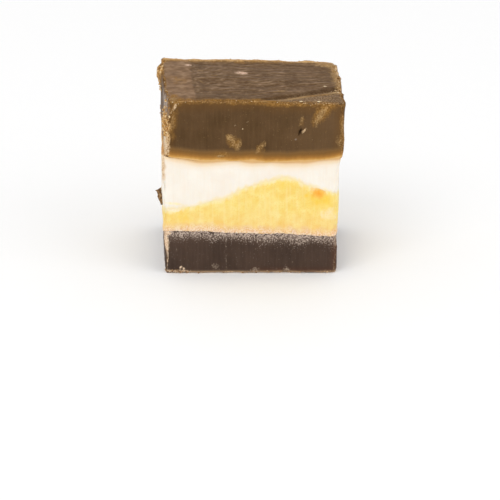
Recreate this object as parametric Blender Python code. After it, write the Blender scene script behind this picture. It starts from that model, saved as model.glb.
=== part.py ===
"""A hand-cut block of layered fudge, standing on its base.

Four slabs lie on each other: dark chocolate fudge, yellow fudge, white fudge and milk chocolate fudge.
Each slab starts as a square block, scored where the relief needs points, and its points are then moved
to where the knife and the crumbling left them. The origin is the centre of the base, +Z is up and the
front cut faces -Y. All heights and places below are those of the square block, in metres.
"""

import math
import random

import bmesh
import bpy
from mathutils import Matrix, Vector

MM = 0.001

# The square block that the knife was aimed at
BLOCK_WIDTH = 40.0 * MM
BLOCK_DEPTH = 32.5 * MM
BLOCK_HEIGHT = 40.5 * MM
HALF_WIDTH = BLOCK_WIDTH / 2
HALF_DEPTH = BLOCK_DEPTH / 2
SEAM_GAP = 0.3 * MM

# Heights of the poured seams as (X, Z) along the front, and for the hill of yellow along the back too
DARK_TOP_POINTS = ((-20 * MM, 10.1 * MM), (-6 * MM, 9.8 * MM), (20 * MM, 8.9 * MM))
YELLOW_TOP_FRONT = (
    (-20 * MM, 15.0 * MM),
    (-12.8 * MM, 15.9 * MM),
    (-9 * MM, 17.0 * MM),
    (-5.2 * MM, 18.1 * MM),
    (-1.5 * MM, 20.0 * MM),
    (3 * MM, 21.4 * MM),
    (8.6 * MM, 22.55 * MM),
    (12.3 * MM, 21.1 * MM),
    (16 * MM, 19.8 * MM),
    (20 * MM, 18.8 * MM),
)
YELLOW_TOP_BACK = ((-20 * MM, 16.7 * MM), (-8 * MM, 15.9 * MM), (5 * MM, 20.7 * MM), (20 * MM, 17.9 * MM))
MILK_FOOT_POINTS = (
    (-20 * MM, 27.4 * MM),
    (-15 * MM, 26.85 * MM),
    (-11.5 * MM, 26.4 * MM),
    (-1 * MM, 26.45 * MM),
    (4 * MM, 26.2 * MM),
    (16.5 * MM, 26.65 * MM),
    (20 * MM, 27.1 * MM),
)
SEAM_WAVE = 0.15 * MM
SEAM_WAVE_LENGTH = 19 * MM

# How far the knife left each upright edge from the square block's, as (X, Y) at base, waist and top
WAIST = 22 * MM
UPRIGHT_EDGES = {
    "front_left": ((1.1 * MM, 0.1 * MM), (0.5 * MM, 0.0 * MM), (0.7 * MM, 0.0 * MM)),
    "front_right": ((-0.8 * MM, 0.2 * MM), (-0.5 * MM, 0.1 * MM), (-0.1 * MM, 0.0 * MM)),
    "back_left": ((0.1 * MM, -0.3 * MM), (-0.2 * MM, 0.2 * MM), (-0.1 * MM, 0.4 * MM)),
    "back_right": ((-0.5 * MM, -1.0 * MM), (0.1 * MM, -1.2 * MM), (-0.4 * MM, -1.3 * MM)),
}
MILK_SET_BACK = 0.9 * MM  # of the milk layer's front left edge from the white layer's, at its foot
MILK_SET_BACK_GAIN = 0.5 * MM  # and how much more it stands back at the top
BULGE = 0.9 * MM  # of the front right edge at the milk layer
BULGE_BAND = (-4.5 * MM, 2 * MM)  # heights from the milk layer's foot at which it starts and is full
CUT_WAVE = 0.13 * MM
CUT_WAVE_LENGTH = 13 * MM

# The smoothed top: a slow wave, a dip at the back right corner and a crease towards the front right
TOP_WAVE = 0.12 * MM
TOP_WAVE_LENGTH = 17 * MM
TOP_DIP = 0.3 * MM
CREASE_START = Vector((-2 * MM, -16.3 * MM, 0))
CREASE_END = Vector((20.5 * MM, -4.9 * MM, 0))
CREASE_DROP = 0.5 * MM  # step down to the strip that the knife dragged, in front of the crease
CREASE_GROOVE = 0.25 * MM  # depth of the crease itself below that strip
CREASE_WIDTH = 0.35 * MM

# Rounding of the block's own edges
TOP_EDGE_RADIUS = 0.7 * MM
BASE_EDGE_RADIUS = 0.35 * MM
UPRIGHT_EDGE_RADIUS = 0.9 * MM

# Scoring: close together at the edges, wide inside, with short cuts between them near the sides
FIRST_CUT = 0.5 * MM
CUT_GROWTH = 1.6
WIDEST_CUT = 3.6 * MM
SIDE_CUT = 1.2 * MM
SIDE_BAND = 0.6 * MM  # how far in from the sides the short cuts reach

# Crumbled chips along the top rim and the upright edges
CHIP_SEED = 11
RIM_CHIPS = 30
UPRIGHT_CHIPS = 5  # on each upright edge
CHIP_REACH = (0.6 * MM, 1.5 * MM)
CHIP_DEPTH = (0.15 * MM, 0.55 * MM)
CHIP_BAND = (1.3 * MM, 0.2 * MM)  # a chip bites this near a face: not at all, and in full
CHIP_DROP = 0.6  # share of its depth that it takes off the top's height

# Bits that stand out of the sides and pits that go in: place, reach along X, Y, Z and push
BURRS = {
    "milk_chocolate_layer": (
        ((-HALF_WIDTH, 9.5 * MM, 38.9 * MM), (1.8 * MM, 2.0 * MM, 1.3 * MM), (-1.1 * MM, 0, 0.1 * MM)),
        ((-HALF_WIDTH, -12 * MM, 35 * MM), (1.5 * MM, 2.0 * MM, 1.8 * MM), (-0.5 * MM, 0, 0)),
        ((HALF_WIDTH, -15 * MM, 40 * MM), (1.2 * MM, 1.4 * MM, 0.8 * MM), (0.4 * MM, -0.2 * MM, 0)),
        ((10.2 * MM, -HALF_DEPTH, 33.9 * MM), (0.6 * MM, 1.5 * MM, 0.9 * MM), (0, 0.6 * MM, 0)),
    ),
    "white_layer": (
        ((-HALF_WIDTH, -14 * MM, 18.5 * MM), (1.4 * MM, 0.5 * MM, 1.0 * MM), (-1.7 * MM, 0, 0.9 * MM)),
    ),
}


def eased(low, high, value):
    """0 below low, 1 above high, and a smooth rise between them."""
    t = min(1.0, max(0.0, (value - low) / (high - low)))
    return t * t * (3 - 2 * t)


def bell(distance, width):
    """A smooth bump of height 1 at no distance, fading over width."""
    return math.exp(-0.5 * (distance / width) ** 2)


def wave(along, length, phase):
    """A gentle wave of height 1, made of two sines that don't repeat together."""
    turn = 2 * math.pi * along / length
    return 0.65 * math.sin(turn + phase) + 0.35 * math.sin(2.3 * turn + 1.7 * phase)


def through(points, x):
    """Height at x of the smooth curve through the points (a cubic with matched slopes)."""
    last = len(points) - 1
    x = min(max(x, points[0][0]), points[last][0])
    i = max(k for k in range(last) if x >= points[k][0])

    def slope(k):
        before, after = points[max(k - 1, 0)], points[min(k + 1, last)]
        return (after[1] - before[1]) / (after[0] - before[0])

    (x0, z0), (x1, z1) = points[i], points[i + 1]
    t = (x - x0) / (x1 - x0)
    start = (1 + 2 * t) * (1 - t) ** 2 * z0 + t * (1 - t) ** 2 * (x1 - x0) * slope(i)
    end = t * t * (3 - 2 * t) * z1 + t * t * (t - 1) * (x1 - x0) * slope(i + 1)
    return start + end


def base_face(x, y):
    """The flat base."""
    return 0.0


def dark_top(x, y):
    """Seam between dark and yellow fudge."""
    return through(DARK_TOP_POINTS, x) + SEAM_WAVE * wave(x + 1.4 * y, SEAM_WAVE_LENGTH, 0.6)


def yellow_top(x, y):
    """Seam between yellow and white fudge: a hill that drifts as it runs through to the back."""
    back = (y + HALF_DEPTH) / BLOCK_DEPTH
    return through(YELLOW_TOP_FRONT, x) * (1 - back) + through(YELLOW_TOP_BACK, x) * back


def milk_foot(x, y):
    """Seam between white and milk chocolate fudge."""
    return through(MILK_FOOT_POINTS, x) + SEAM_WAVE * wave(y - 0.3 * x, SEAM_WAVE_LENGTH, 4.0)


def beside_crease(x, y):
    """Distance behind the crease's line (ahead of it is negative), and how far along it, 0 to 1."""
    run = CREASE_END - CREASE_START
    to_point = Vector((x, y, 0)) - CREASE_START
    behind = run.cross(to_point).z / run.length
    return behind, to_point.dot(run) / run.length_squared


def top_face(x, y):
    """The smoothed top of the milk chocolate fudge."""
    dip = TOP_DIP * eased(0, HALF_WIDTH, x) * eased(0, HALF_DEPTH, y)
    height = BLOCK_HEIGHT - TOP_WAVE - dip + TOP_WAVE * wave(y + 0.15 * x, TOP_WAVE_LENGTH, 1.2)
    behind, along = beside_crease(x, y)
    step_down = CREASE_DROP * (1 - eased(-2 * CREASE_WIDTH, CREASE_WIDTH, behind))
    groove = CREASE_GROOVE * bell(behind + CREASE_WIDTH, CREASE_WIDTH)
    return height - (step_down + groove) * eased(0, 0.4, along)


def graded_cuts(half):
    """Cut places from -half to half, close together at both ends."""
    inset, step, found = 0.0, FIRST_CUT, []
    while inset + step < half - step / 2:
        inset += step
        found.append(half - inset)
        step = min(step * CUT_GROWTH, WIDEST_CUT)
    return sorted([-place for place in found] + [0.0] + found)


def side_cuts(half):
    """Places of the short cuts, which halve or third the wide gaps between the graded ones."""
    graded = [-half] + graded_cuts(half) + [half]
    found = []
    for start, end in zip(graded, graded[1:]):
        parts = max(1, round((end - start) / SIDE_CUT))
        found += [start + (end - start) * k / parts for k in range(1, parts)]
    return found


def score(mesh, spot, normal, near=None):
    """Cuts along a plane, through the whole mesh or only through the faces that near() picks."""
    faces = [f for f in mesh.faces if near is None or near(f.calc_center_median())]
    edges = list(dict.fromkeys(e for f in faces for e in f.edges))
    verts = list(dict.fromkeys(v for f in faces for v in f.verts))
    bmesh.ops.bisect_plane(mesh, geom=verts + edges + faces, dist=1e-7, plane_co=spot, plane_no=normal)


def at_side(centre):
    """Whether a face lies on a side, or on a cap right beside one."""
    return abs(centre.x) > HALF_WIDTH - SIDE_BAND or abs(centre.y) > HALF_DEPTH - SIDE_BAND


def scored_slab(levels):
    """A slab one unit high (its foot at 0) with all the cuts that every layer has."""
    mesh = bmesh.new()
    size = Matrix.Diagonal((BLOCK_WIDTH, BLOCK_DEPTH, 1.0, 1.0))
    bmesh.ops.create_cube(mesh, size=1.0, matrix=Matrix.Translation((0, 0, 0.5)) @ size)
    for x in graded_cuts(HALF_WIDTH):
        score(mesh, Vector((x, 0, 0)), Vector((1, 0, 0)))
    for y in graded_cuts(HALF_DEPTH):
        score(mesh, Vector((0, y, 0)), Vector((0, 1, 0)))
    for level in levels:
        score(mesh, Vector((0, 0, level)), Vector((0, 0, 1)))
    for x in side_cuts(HALF_WIDTH):
        score(mesh, Vector((x, 0, 0)), Vector((1, 0, 0)), at_side)
    for y in side_cuts(HALF_DEPTH):
        score(mesh, Vector((0, y, 0)), Vector((0, 1, 0)), at_side)
    return mesh


def score_burr(mesh, place, reach, foot, head):
    """Adds short cuts around a burr or a pit, so that its form has points to hang on."""
    low, high = foot(place[0], place[1]), head(place[0], place[1])
    centre = Vector((place[0], place[1], (place[2] - low) / (high - low)))
    spread = Vector((reach[0], reach[1], reach[2] / (high - low)))
    for axis in range(3):
        normal = Vector((0, 0, 0))
        normal[axis] = 1.0
        for step in (-1.5, -0.75, 0.0, 0.75, 1.5):
            spot = centre + normal * spread[axis] * step

            def beside(face, spread=spread):
                return all(abs(face[k] - centre[k]) < 2.2 * spread[k] for k in range(3))

            score(mesh, spot, normal, beside)


def score_crease(mesh):
    """Adds cuts along the crease on the top face."""
    run = (CREASE_END - CREASE_START).normalized()
    across = Vector((-run.y, run.x, 0))

    def by_crease(centre):
        behind, along = beside_crease(centre.x, centre.y)
        return centre.z > 0.999 and abs(behind) < 9 * CREASE_WIDTH and along > -0.1

    for step in (-4, -2.5, -1, 0, 1, 2.5):
        score(mesh, CREASE_START + across * step * CREASE_WIDTH, across, by_crease)


def rounded(point):
    """Pulls a point of the square block in to rounded outer edges."""
    upper = point.z > BLOCK_HEIGHT / 2
    radii = Vector((UPRIGHT_EDGE_RADIUS, UPRIGHT_EDGE_RADIUS, TOP_EDGE_RADIUS if upper else BASE_EDGE_RADIUS))
    middle = Vector((0, 0, BLOCK_HEIGHT / 2))
    half = Vector((HALF_WIDTH, HALF_DEPTH, BLOCK_HEIGHT / 2))
    from_middle = point - middle
    over = Vector([max(abs(from_middle[k]) - half[k] + radii[k], 0.0) / radii[k] for k in range(3)])
    spare = 1 - 1 / max(over.length, 1.0)
    pull = [math.copysign(over[k] * radii[k] * spare, from_middle[k]) for k in range(3)]
    return point - Vector(pull)


def crumbled_chips():
    """Seeded chips as (place, reach, depth): along the top rim, then down each upright edge."""
    draw = random.Random(CHIP_SEED)
    places = []
    for k in range(RIM_CHIPS):
        along = BLOCK_WIDTH * 2 * (k + draw.uniform(0, 1)) / RIM_CHIPS - BLOCK_WIDTH
        side = 1 if along > 0 else -1
        if k % 2:
            places.append(Vector((side * HALF_WIDTH, along * BLOCK_DEPTH / BLOCK_WIDTH - side * HALF_DEPTH,
                                  BLOCK_HEIGHT)))
        else:
            places.append(Vector((along - side * HALF_WIDTH, side * HALF_DEPTH, BLOCK_HEIGHT)))
    for side_x in (-1, 1):
        for side_y in (-1, 1):
            for k in range(UPRIGHT_CHIPS):
                height = BLOCK_HEIGHT * (k + draw.uniform(0, 1)) / UPRIGHT_CHIPS
                places.append(Vector((side_x * HALF_WIDTH, side_y * HALF_DEPTH, height)))
    return [(place, draw.uniform(*CHIP_REACH), draw.uniform(*CHIP_DEPTH)) for place in places]


def chipped(point, chips):
    """How far the chips near a point of the square block move it towards the block's middle."""
    outside, inside = CHIP_BAND
    inward = Vector((
        -math.copysign(eased(-outside, -inside, abs(point.x) - HALF_WIDTH), point.x),
        -math.copysign(eased(-outside, -inside, abs(point.y) - HALF_DEPTH), point.y),
        -CHIP_DROP * eased(-outside, -inside, point.z - BLOCK_HEIGHT),
    ))
    moved = Vector((0, 0, 0))
    for place, reach, depth in chips:
        moved += inward * depth * bell((point - place).length, reach)
    return moved


def knife_cut(point, height, is_milk):
    """Where the knife left a point: between its four upright edges, which lean, and a little wavy."""
    right = (point.x + HALF_WIDTH) / BLOCK_WIDTH
    back = (point.y + HALF_DEPTH) / BLOCK_DEPTH
    share = {
        "front_left": (1 - right) * (1 - back),
        "front_right": right * (1 - back),
        "back_left": (1 - right) * back,
        "back_right": right * back,
    }
    lower = min(height / WAIST, 1.0)
    upper = max((height - WAIST) / (BLOCK_HEIGHT - WAIST), 0.0)
    moved = Vector((0, 0, 0))
    for corner, weight in share.items():
        base, waist, top = (Vector((*shift, 0)) for shift in UPRIGHT_EDGES[corner])
        moved += weight * (base.lerp(waist, lower) + (top - waist) * upper)
    foot = MILK_FOOT_POINTS[0][1]
    moved.x += share["front_right"] * BULGE * eased(*BULGE_BAND, height - foot)
    if is_milk:
        above_foot = (height - foot) / (BLOCK_HEIGHT - foot)
        moved.x += share["front_left"] ** 2 * (MILK_SET_BACK + MILK_SET_BACK_GAIN * above_foot)
    out_x, out_y = point.x / HALF_WIDTH, point.y / HALF_DEPTH
    moved.x += CUT_WAVE * out_x ** 3 * wave(point.y + 0.6 * height, CUT_WAVE_LENGTH, 0.9 + out_x)
    moved.y += CUT_WAVE * out_y ** 3 * wave(point.x - 0.5 * height, CUT_WAVE_LENGTH, 2.6 + out_y)
    return moved


def shape_slab(mesh, name, foot, head, swell, chips):
    """Moves the points of a scored slab to the layer's true form."""
    burrs = BURRS.get(name, ())
    for place, reach, push in burrs:
        score_burr(mesh, place, reach, foot, head)
    bmesh.ops.triangulate(mesh, faces=mesh.faces[:])
    is_milk = head is top_face
    for vertex in mesh.verts:
        x, y, level = vertex.co
        low = foot(x, y) + (SEAM_GAP / 2 if foot is not base_face else 0.0)
        high = head(x, y) - (SEAM_GAP / 2 if not is_milk else 0.0)
        height = low + (high - low) * level
        square = Vector((x, y, height))
        if is_milk:
            square.z = min(height * BLOCK_HEIGHT / high, BLOCK_HEIGHT)
        moved = rounded(square) - square + knife_cut(square, height, is_milk) + chipped(square, chips)
        for place, reach, push in burrs:
            away = Vector([(square[k] - place[k]) / reach[k] for k in range(3)]).length
            moved += Vector(push) * bell(away, 1.0)
        moved.x += swell * x / HALF_WIDTH
        moved.y += swell * y / HALF_DEPTH
        if foot is base_face and level == 0.0:
            moved.z = max(moved.z, 0.0)
        vertex.co = Vector((x, y, height)) + moved
    bmesh.ops.recalc_face_normals(mesh, faces=mesh.faces[:])


def fudge_material(name, colour, roughness):
    """Plain Principled BSDF of one fudge."""
    material = bpy.data.materials.new(name)
    material.use_nodes = True
    shader = material.node_tree.nodes["Principled BSDF"]
    shader.inputs["Base Color"].default_value = (*colour, 1.0)
    shader.inputs["Roughness"].default_value = roughness
    shader.inputs["Metallic"].default_value = 0.0
    material.diffuse_color = (*colour, 1.0)
    return material


def add_layer(name, mesh, material):
    """Turns a finished mesh into the named layer."""
    data = bpy.data.meshes.new(name)
    mesh.to_mesh(data)
    mesh.free()
    data.materials.append(material)
    data.shade_smooth()
    data.set_sharp_from_angle(angle=math.radians(40))
    layer = bpy.data.objects.new(name, data)
    bpy.context.scene.collection.objects.link(layer)
    return layer


def centre_on_base(layers):
    """Moves all the layers together, so that the origin is under the middle of the block."""
    corners = [vertex.co for layer in layers for vertex in layer.data.vertices]
    middle_x = (min(c.x for c in corners) + max(c.x for c in corners)) / 2
    middle_y = (min(c.y for c in corners) + max(c.y for c in corners)) / 2
    for layer in layers:
        layer.data.transform(Matrix.Translation((-middle_x, -middle_y, 0)))


def main():
    """Builds the four layers, from the base up."""
    for old in list(bpy.data.objects):
        bpy.data.objects.remove(old)
    chips = crumbled_chips()
    dark = fudge_material("dark_chocolate_fudge", (0.068, 0.043, 0.033), 0.55)
    yellow = fudge_material("yellow_fudge", (0.95, 0.70, 0.22), 0.60)
    white = fudge_material("white_fudge", (0.93, 0.87, 0.76), 0.60)
    milk = fudge_material("milk_chocolate_fudge", (0.125, 0.072, 0.035), 0.45)
    # Name, foot, head, material, how far its sides swell past the cut, and its levels of points
    plan = (
        ("dark_chocolate_layer", base_face, dark_top, dark, -0.05 * MM, (0.06, 0.18, 0.45, 0.75)),
        ("yellow_layer", dark_top, yellow_top, yellow, 0.1 * MM, (0.25, 0.5, 0.75)),
        ("white_layer", yellow_top, milk_foot, white, 0.0, (0.25, 0.5, 0.75)),
        ("milk_chocolate_layer", milk_foot, top_face, milk, 0.15 * MM, (0.2, 0.45, 0.68, 0.85, 0.95)),
    )
    layers = []
    for name, foot, head, material, swell, levels in plan:
        mesh = scored_slab(levels)
        if head is top_face:
            score_crease(mesh)
        shape_slab(mesh, name, foot, head, swell, chips)
        layers.append(add_layer(name, mesh, material))
    centre_on_base(layers)


main()
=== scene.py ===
import math
import random

import bpy
import numpy as np
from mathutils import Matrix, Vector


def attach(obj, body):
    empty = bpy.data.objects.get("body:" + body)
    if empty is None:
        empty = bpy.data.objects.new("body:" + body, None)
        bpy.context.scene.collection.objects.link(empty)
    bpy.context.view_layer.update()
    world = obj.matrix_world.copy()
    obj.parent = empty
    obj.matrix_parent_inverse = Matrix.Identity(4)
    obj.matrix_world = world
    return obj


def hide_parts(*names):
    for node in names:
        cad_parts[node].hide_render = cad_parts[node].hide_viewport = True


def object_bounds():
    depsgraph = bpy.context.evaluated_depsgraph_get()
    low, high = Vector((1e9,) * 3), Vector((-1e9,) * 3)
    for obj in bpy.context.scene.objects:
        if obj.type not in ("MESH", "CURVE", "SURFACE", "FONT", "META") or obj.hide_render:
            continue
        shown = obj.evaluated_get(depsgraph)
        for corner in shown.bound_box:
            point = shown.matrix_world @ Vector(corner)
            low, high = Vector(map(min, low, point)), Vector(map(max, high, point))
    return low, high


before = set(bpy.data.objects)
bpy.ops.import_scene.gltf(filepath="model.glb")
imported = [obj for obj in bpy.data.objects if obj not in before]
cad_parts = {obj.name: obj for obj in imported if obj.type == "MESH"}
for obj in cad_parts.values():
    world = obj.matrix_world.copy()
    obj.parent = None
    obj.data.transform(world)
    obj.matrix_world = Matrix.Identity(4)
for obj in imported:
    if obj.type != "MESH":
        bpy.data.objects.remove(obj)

cadBox = [list(corner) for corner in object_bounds()]
print("frame loaded:", ", ".join(sorted(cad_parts)))

mm = 0.001


def insideBox(points):
    # no point leaves the solids' box
    return np.clip(points, *np.array(cadBox))


# The square block that the knife was aimed at. All heights and places of features are on this block.
block = {
    "width": 40 * mm,
    "depth": 32.5 * mm,
    "height": 40.5 * mm,
    "centre": (0.011 * mm, -0.105 * mm),  # where its middle stands in the frame
    "topRadius": 0.7 * mm,
    "baseRadius": 0.35 * mm,
    "uprightRadius": 0.9 * mm,
    "waist": 22 * mm,
}
halfBlock = np.array([block["width"], block["depth"], block["height"]]) / 2

# How far the knife left each upright edge from the square block's: (x, y) at base, waist and top
uprightEdges = {
    (0, 0): ((1.1, 0.1), (0.5, 0.0), (0.7, 0.0)),  # front left
    (1, 0): ((-0.8, 0.2), (-0.5, 0.1), (-0.1, 0.0)),  # front right
    (0, 1): ((0.1, -0.3), (-0.2, 0.2), (-0.1, 0.4)),  # back left
    (1, 1): ((-0.5, -1.0), (0.1, -1.2), (-0.4, -1.3)),  # back right
}


def eased(low, high, value):
    # 0 below low, 1 above high, a smooth S between them
    t = np.clip((value - low) / (high - low), 0, 1)
    return t * t * (3 - 2 * t)


def bell(distance, width):
    # a bump of height 1 that fades over width
    return np.exp(-0.5 * (distance / width) ** 2)


def wave(along, length, phase):
    # two sines that don't repeat together, height about 1
    turn = 2 * math.pi * along / length
    return 0.65 * np.sin(turn + phase) + 0.35 * np.sin(2.3 * turn + 1.7 * phase)


def lumps(seed, *coordinates):
    # value noise, -1 to 1: seeded random values on a lattice of unit cells, smoothly mixed in between
    side = 64
    table = np.random.default_rng(seed).uniform(-1, 1, (side, side, side))
    cell = np.stack(np.broadcast_arrays(*coordinates), axis=-1)
    base = np.floor(cell).astype(int)
    t = cell - base
    t = t * t * (3 - 2 * t)
    total = np.zeros(cell.shape[:-1])
    for corner in range(8):
        step = np.array([corner & 1, corner >> 1 & 1, corner >> 2 & 1])
        i, j, k = np.moveaxis((base + step) % side, -1, 0)
        total += np.prod(np.where(step, t, 1 - t), axis=-1) * table[i, j, k]
    return total


def grains(seed, place, *sizes):
    # value noise at a place, in lumps of the given size in mm: one size, or one each along X, Y and Z
    sizes = np.broadcast_to(np.array(sizes, float), 3) * mm
    return lumps(seed, place[..., 0] / sizes[0], place[..., 1] / sizes[1], place[..., 2] / sizes[2])


def through(points, x):
    # smooth curve through the points: cubics with matched slopes, in mm in and metres out
    px, pz = np.array(points, float).T * mm
    slopes = np.empty(len(px))
    slopes[1:-1] = (pz[2:] - pz[:-2]) / (px[2:] - px[:-2])
    slopes[0] = (pz[1] - pz[0]) / (px[1] - px[0])
    slopes[-1] = (pz[-1] - pz[-2]) / (px[-1] - px[-2])
    x = np.clip(x, px[0], px[-1])
    i = np.clip(np.searchsorted(px, x, side="right") - 1, 0, len(px) - 2)
    run = px[i + 1] - px[i]
    t = (x - px[i]) / run
    start = (1 + 2 * t) * (1 - t) ** 2 * pz[i] + t * (1 - t) ** 2 * run * slopes[i]
    end = t * t * (3 - 2 * t) * pz[i + 1] + t * t * (t - 1) * run * slopes[i + 1]
    return start + end


# The poured seams, as (x, z) in mm along the front, and for the hill of yellow along the back too
seams = {
    "darkTop": ((-20, 10.1), (-6, 9.8), (20, 8.9)),
    "yellowTopFront": ((-20, 15.0), (-12.8, 15.9), (-9, 17.0), (-5.2, 18.1), (-1.5, 20.0), (3, 21.4),
                       (8.6, 22.55), (12.3, 21.1), (16, 19.8), (20, 18.8)),
    "yellowTopBack": ((-20, 16.7), (-8, 15.9), (5, 20.7), (20, 17.9)),
    "milkFoot": ((-20, 27.4), (-15, 26.85), (-11.5, 26.4), (-1, 26.45), (4, 26.2), (16.5, 26.65), (20, 27.1)),
    "wave": 0.15 * mm,
    "waveLength": 19 * mm,
    "topWave": 0.12 * mm,
    "topWaveLength": 17 * mm,
    "topDip": 0.3 * mm,
    "crumbly": (0.7, 0.1),  # detail of the dark seam: size and height of its lumps in mm
    "feathery": ((0.9, 0.16), (0.35, 0.096)),  # of the yellow one: broad and fine
    "soft": (1.5, 0.06),  # of the milk one
}

# The crease that the knife dragged across the top, from its start to its end at the right edge, in mm
crease = {"start": (-2, -16.3), "end": (20.5, -4.9), "drop": 0.5, "groove": 0.25, "width": 0.35}


def baseFace(x, y):
    # flat
    return np.zeros_like(x)


def seamDetail(seed, x, y, size, height):
    # lumps of the given size and height in mm
    return height * mm * lumps(seed, x / (size * mm), y / (size * mm), 0.0)


def darkTop(x, y):
    # seam of dark and yellow fudge: a gentle fall to the right, crumbly in detail
    smooth = through(seams["darkTop"], x) + seams["wave"] * wave(x + 1.4 * y, seams["waveLength"], 0.6)
    return smooth + seamDetail(1, x, y, *seams["crumbly"])


def yellowTop(x, y):
    # seam of yellow and white fudge: a hill that drifts as it runs through to the back, feathery in detail
    back = (y + halfBlock[1]) / block["depth"]
    smooth = through(seams["yellowTopFront"], x) * (1 - back) + through(seams["yellowTopBack"], x) * back
    broad, fine = seams["feathery"]
    return smooth + seamDetail(2, x, y, *broad) + seamDetail(3, x, y, *fine)


def milkFoot(x, y):
    # seam of white and milk chocolate fudge: soft and even
    smooth = through(seams["milkFoot"], x) + seams["wave"] * wave(y - 0.3 * x, seams["waveLength"], 4.0)
    return smooth + seamDetail(4, x, y, *seams["soft"])


def besideCrease(x, y):
    # distance behind the crease's line (ahead of it is negative), and how far along it, 0 to 1
    startX, startY = np.array(crease["start"]) * mm
    runX, runY = np.array(crease["end"]) * mm - (startX, startY)
    length = math.hypot(runX, runY)
    behind = (runX * (y - startY) - runY * (x - startX)) / length
    return behind, ((x - startX) * runX + (y - startY) * runY) / length ** 2


def topFace(x, y):
    # the smoothed top: a slow wave, a dip at the back right corner, and a step down ahead of the crease
    dip = seams["topDip"] * eased(0, halfBlock[0], x) * eased(0, halfBlock[1], y)
    slow = seams["topWave"] * wave(y + 0.15 * x, seams["topWaveLength"], 1.2)
    behind, along = besideCrease(x, y)
    width = crease["width"] * mm
    stepDown = crease["drop"] * (1 - eased(-2 * width, width, behind))
    sunk = (stepDown + crease["groove"] * bell(behind + width, width)) * eased(0, 0.4, along) * mm
    return block["height"] - seams["topWave"] - dip + slow - sunk


def roundedEdges(square):
    # points within an edge's radius slide in to a quarter circle; also gives the way out of the block there,
    # and the distance to the block's nearest edge, which is the second smallest distance to its faces
    radii = np.empty_like(square)
    radii[..., :2] = block["uprightRadius"]
    radii[..., 2] = np.where(square[..., 2] > halfBlock[2], block["topRadius"], block["baseRadius"])
    away = square - np.array([0, 0, halfBlock[2]])
    over = np.clip(np.abs(away) - halfBlock + radii, 0, None) / radii
    length = np.linalg.norm(over, axis=-1, keepdims=True)
    pull = np.copysign(over * radii * (1 - 1 / np.maximum(length, 1)), away)
    outward = np.copysign(over, away) / np.maximum(length, 1e-9)
    fromEdge = np.sort(np.clip(halfBlock - np.abs(away), 0, None), axis=-1)[..., 1]
    return -pull, outward, fromEdge


# What the cut does besides leaning
cut = {
    "bulge": 0.9 * mm,  # of the front right edge at the milk layer
    "bulgeRise": (-4.5 * mm, 2 * mm),  # from below that layer's foot to above it
    "setBack": (0.9 * mm, 1.4 * mm),  # of the milk layer's front left edge, at its foot and at the top
    "wave": 0.13 * mm,
    "waveLength": 13 * mm,
}


def knifeCut(square, height, isMilk):
    # the four upright edges lean, the faces between them are ruled from edge to edge and a little wavy
    right = (square[..., 0] + halfBlock[0]) / block["width"]
    back = (square[..., 1] + halfBlock[1]) / block["depth"]
    lower = np.clip(height / block["waist"], 0, 1)[..., None]
    upper = np.clip((height - block["waist"]) / (block["height"] - block["waist"]), 0, None)[..., None]
    moved = np.zeros_like(square)
    for (isRight, isBack), shifts in uprightEdges.items():
        weight = (right if isRight else 1 - right) * (back if isBack else 1 - back)
        base, waist, top = (np.array([*shift, 0.0]) * mm for shift in shifts)
        moved += weight[..., None] * (base + (waist - base) * lower + (top - waist) * upper)
    foot = seams["milkFoot"][0][1] * mm
    moved[..., 0] += right * (1 - back) * cut["bulge"] * eased(*cut["bulgeRise"], height - foot)
    if isMilk:
        low, high = cut["setBack"]
        aboveFoot = (height - foot) / (block["height"] - foot)
        moved[..., 0] += ((1 - right) * (1 - back)) ** 2 * (low + (high - low) * aboveFoot)
    outX, outY = square[..., 0] / halfBlock[0], square[..., 1] / halfBlock[1]
    waves = (wave(square[..., 1] + 0.6 * height, cut["waveLength"], 0.9 + outX),
             wave(square[..., 0] - 0.5 * height, cut["waveLength"], 2.6 + outY))
    moved[..., 0] += cut["wave"] * outX ** 3 * waves[0]
    moved[..., 1] += cut["wave"] * outY ** 3 * waves[1]
    return moved


# Crumbled chips along the top rim and the upright edges, drawn in the same order as the solids'
chipping = {
    "seed": 11,
    "onRim": 30,
    "onUpright": 5,
    "reach": (0.6 * mm, 1.5 * mm),
    "depth": (0.15 * mm, 0.55 * mm),
    "band": (1.3 * mm, 0.2 * mm),  # a chip bites this near a face: not at all, and in full
}


def crumbledChips():
    # a list of (place, reach, depth)
    draw = random.Random(chipping["seed"])
    places = []
    for k in range(chipping["onRim"]):
        along = block["width"] * 2 * (k + draw.uniform(0, 1)) / chipping["onRim"] - block["width"]
        side = 1 if along > 0 else -1
        if k % 2:
            y = along * block["depth"] / block["width"] - side * halfBlock[1]
            places.append((side * halfBlock[0], y, block["height"]))
        else:
            places.append((along - side * halfBlock[0], side * halfBlock[1], block["height"]))
    for sideX in (-1, 1):
        for sideY in (-1, 1):
            for k in range(chipping["onUpright"]):
                height = block["height"] * (k + draw.uniform(0, 1)) / chipping["onUpright"]
                places.append((sideX * halfBlock[0], sideY * halfBlock[1], height))
    reach, depth = chipping["reach"], chipping["depth"]
    return [(np.array(place), draw.uniform(*reach), draw.uniform(*depth)) for place in places]


chips = crumbledChips()


def chipped(square):
    # each chip pushes the points near it inwards, by its depth times a bell of the distance
    outside, inside = chipping["band"]
    inward = np.empty_like(square)
    for axis in (0, 1):
        nearFace = eased(-outside, -inside, np.abs(square[..., axis]) - halfBlock[axis])
        inward[..., axis] = -np.copysign(nearFace, square[..., axis])
    inward[..., 2] = -0.6 * eased(-outside, -inside, square[..., 2] - block["height"])
    total = np.zeros(square.shape[:-1])
    for place, reach, depth in chips:
        total += depth * bell(np.linalg.norm(square - place, axis=-1), reach)
    return inward * total[..., None]


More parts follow.
